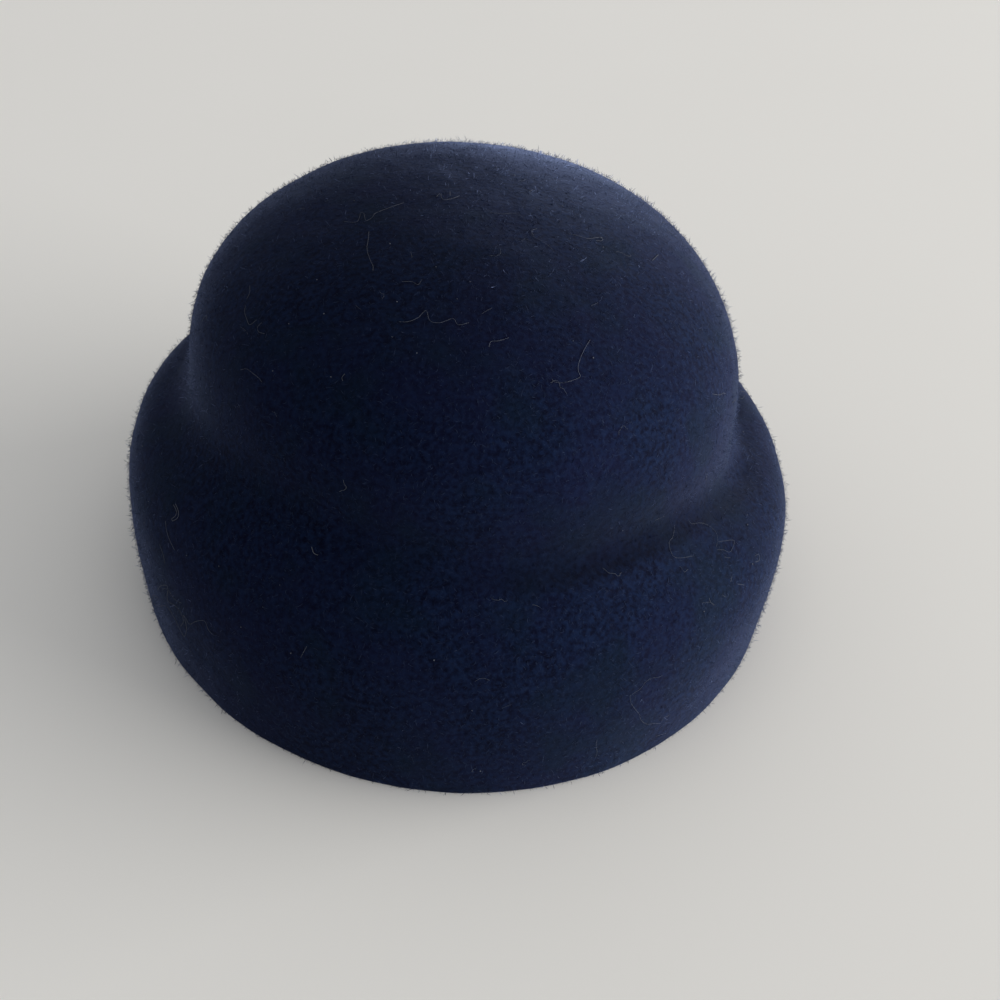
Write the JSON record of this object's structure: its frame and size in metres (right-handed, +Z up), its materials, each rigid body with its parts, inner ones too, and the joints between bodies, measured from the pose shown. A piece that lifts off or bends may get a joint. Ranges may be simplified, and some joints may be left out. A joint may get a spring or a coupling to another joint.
{
  "type": "sailor hat",
  "caption": "Wool felt hat with a round blocked crown that flares softly at its foot into a deep, slightly bulging brim turned down all round, open below for the head",
  "frame": {"origin": "middle of the hat's bounding box, on the surface that its brim rests on", "axes": "+Z is up through the crown, -Y is the front of the hat, +X is the wearer's left"},
  "size_m": [0.223, 0.2422, 0.1375],
  "materials": {
    "navy_felt": "matt wool felt with a short nap"
  },
  "bodies": {
    "root": {"felt_body": "navy_felt"}
  },
  "joints": []
}
